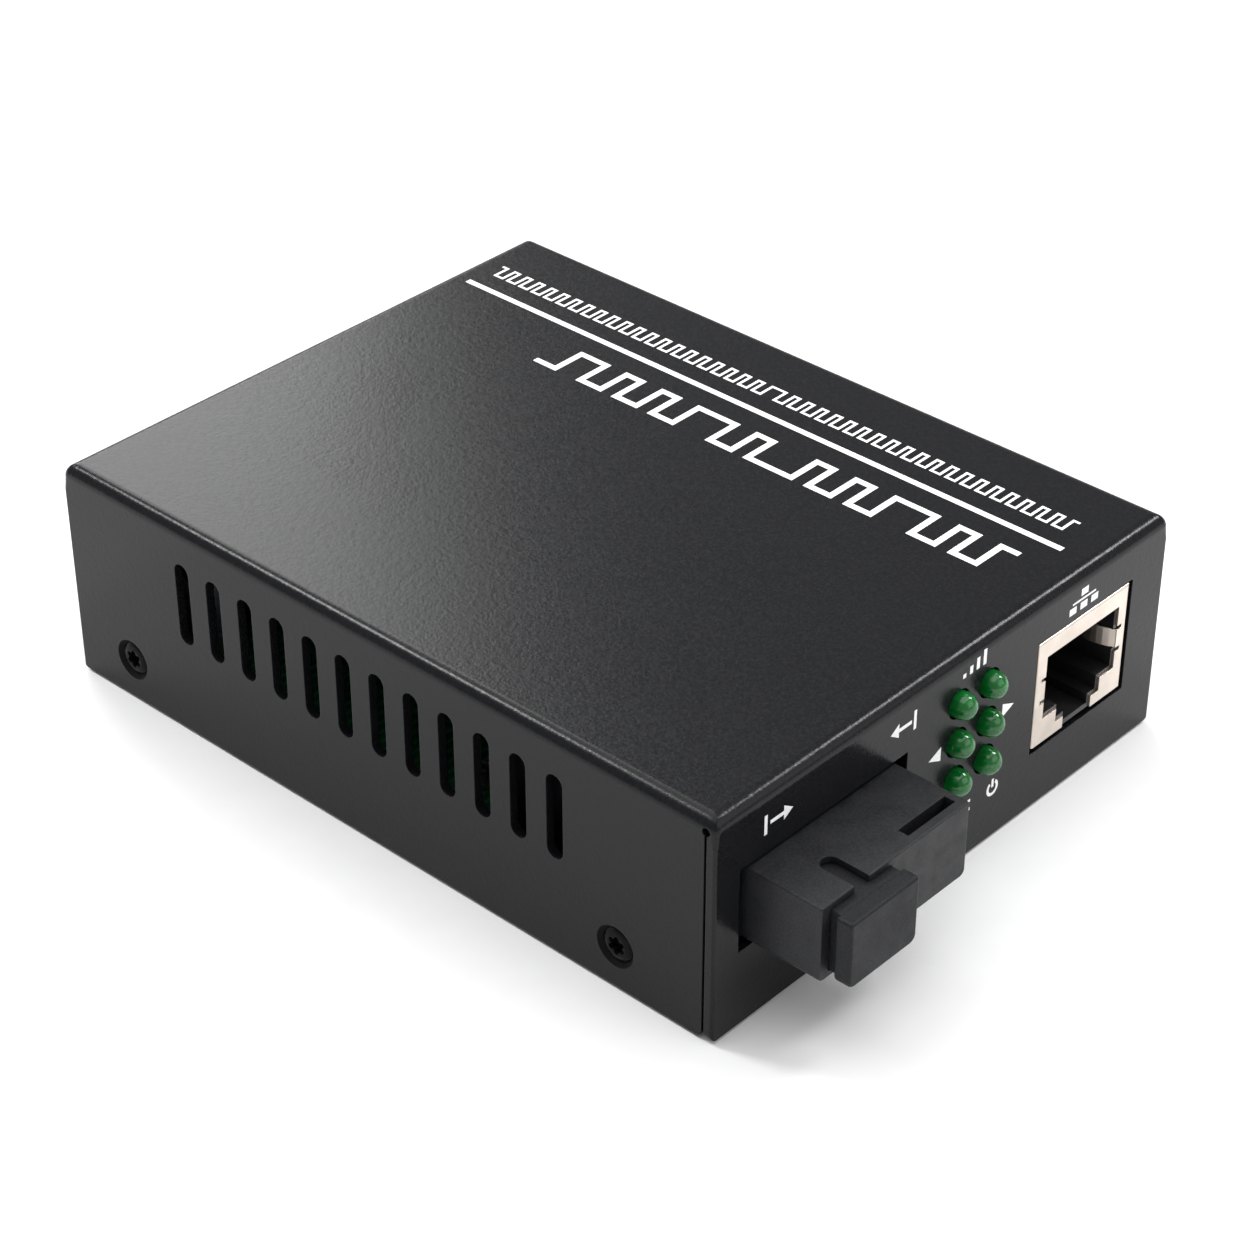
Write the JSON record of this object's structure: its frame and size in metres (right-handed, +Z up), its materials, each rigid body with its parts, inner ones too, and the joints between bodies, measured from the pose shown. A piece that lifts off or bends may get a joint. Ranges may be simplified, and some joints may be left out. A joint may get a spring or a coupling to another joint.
{
  "type": "fibre media converter",
  "caption": "Black folded-steel fibre media converter with vented side walls, a capped fibre port, a network jack, green lamps and a rear power jack.",
  "frame": {"origin": "centre of the base's underside, midway between the side walls and between the front and rear panels", "axes": "+Z up, the front panel faces -Y, +X is to the right of somebody facing the front panel"},
  "size_m": [0.073, 0.1067, 0.027],
  "materials": {
    "case_coat": "satin fine-texture powder coat",
    "black_steel": "black-finished steel",
    "plain_steel": "plated",
    "board_laminate": "green solder mask",
    "black_moulding": "moulded, matt",
    "cap_moulding": "moulded, matt",
    "tinned_steel": "tinned",
    "tinned_pins": "tinned",
    "ceramic": "white ceramic",
    "nickel_plate": "warm nickel plate",
    "black_insulator": "moulded",
    "gold_plate": "gold plate",
    "chip_package": "moulded package",
    "capacitor_sleeve": "heat-shrunk sleeve",
    "ferrite": "sintered",
    "resistor_body": "chip",
    "capacitor_body": "chip",
    "lamp_lens": "clear tinted epoxy"
  },
  "bodies": {
    "chassis": {"cover": "case_coat", "base": "case_coat", "cover_screws": "black_steel", "board_standoffs": "plain_steel", "main_board": "board_laminate", "board_screws": "plain_steel", "module_housing": "black_moulding", "module_can": "black_steel", "module_board": "board_laminate", "module_pins": "tinned_pins", "latch_insert": "black_moulding", "ferrule_sleeve": "ceramic", "optical_barrel": "plain_steel", "laser_can": "plain_steel", "jack_shield": "nickel_plate", "jack_housing": "black_insulator", "jack_contacts": "gold_plate", "lamp_holder": "black_moulding", "lamp_leads": "tinned_pins", "power_jack_body": "black_insulator", "power_pin": "nickel_plate", "power_leaf": "nickel_plate", "converter_chip": "chip_package", "converter_chip_pins": "tinned_pins", "network_transformer": "chip_package", "transformer_pins": "tinned_pins", "crystal_can": "tinned_steel", "supply_capacitor": "capacitor_sleeve", "output_capacitor": "capacitor_sleeve", "power_inductor": "ferrite", "voltage_regulator": "chip_package", "chip_resistors": "resistor_body", "chip_capacitors": "capacitor_body", "lamp_left_low": "lamp_lens", "lamp_left_middle": "lamp_lens", "lamp_left_high": "lamp_lens", "lamp_right_low": "lamp_lens", "lamp_right_middle": "lamp_lens", "lamp_right_high": "lamp_lens"},
    "cap": {"dust_cap": "cap_moulding"}
  },
  "joints": [
    {"name": "dust_cap_pull", "type": "slide", "parent": "chassis", "child": "cap", "axis": [0, -1, 0], "range_m": [0, 0.012]}
  ]
}
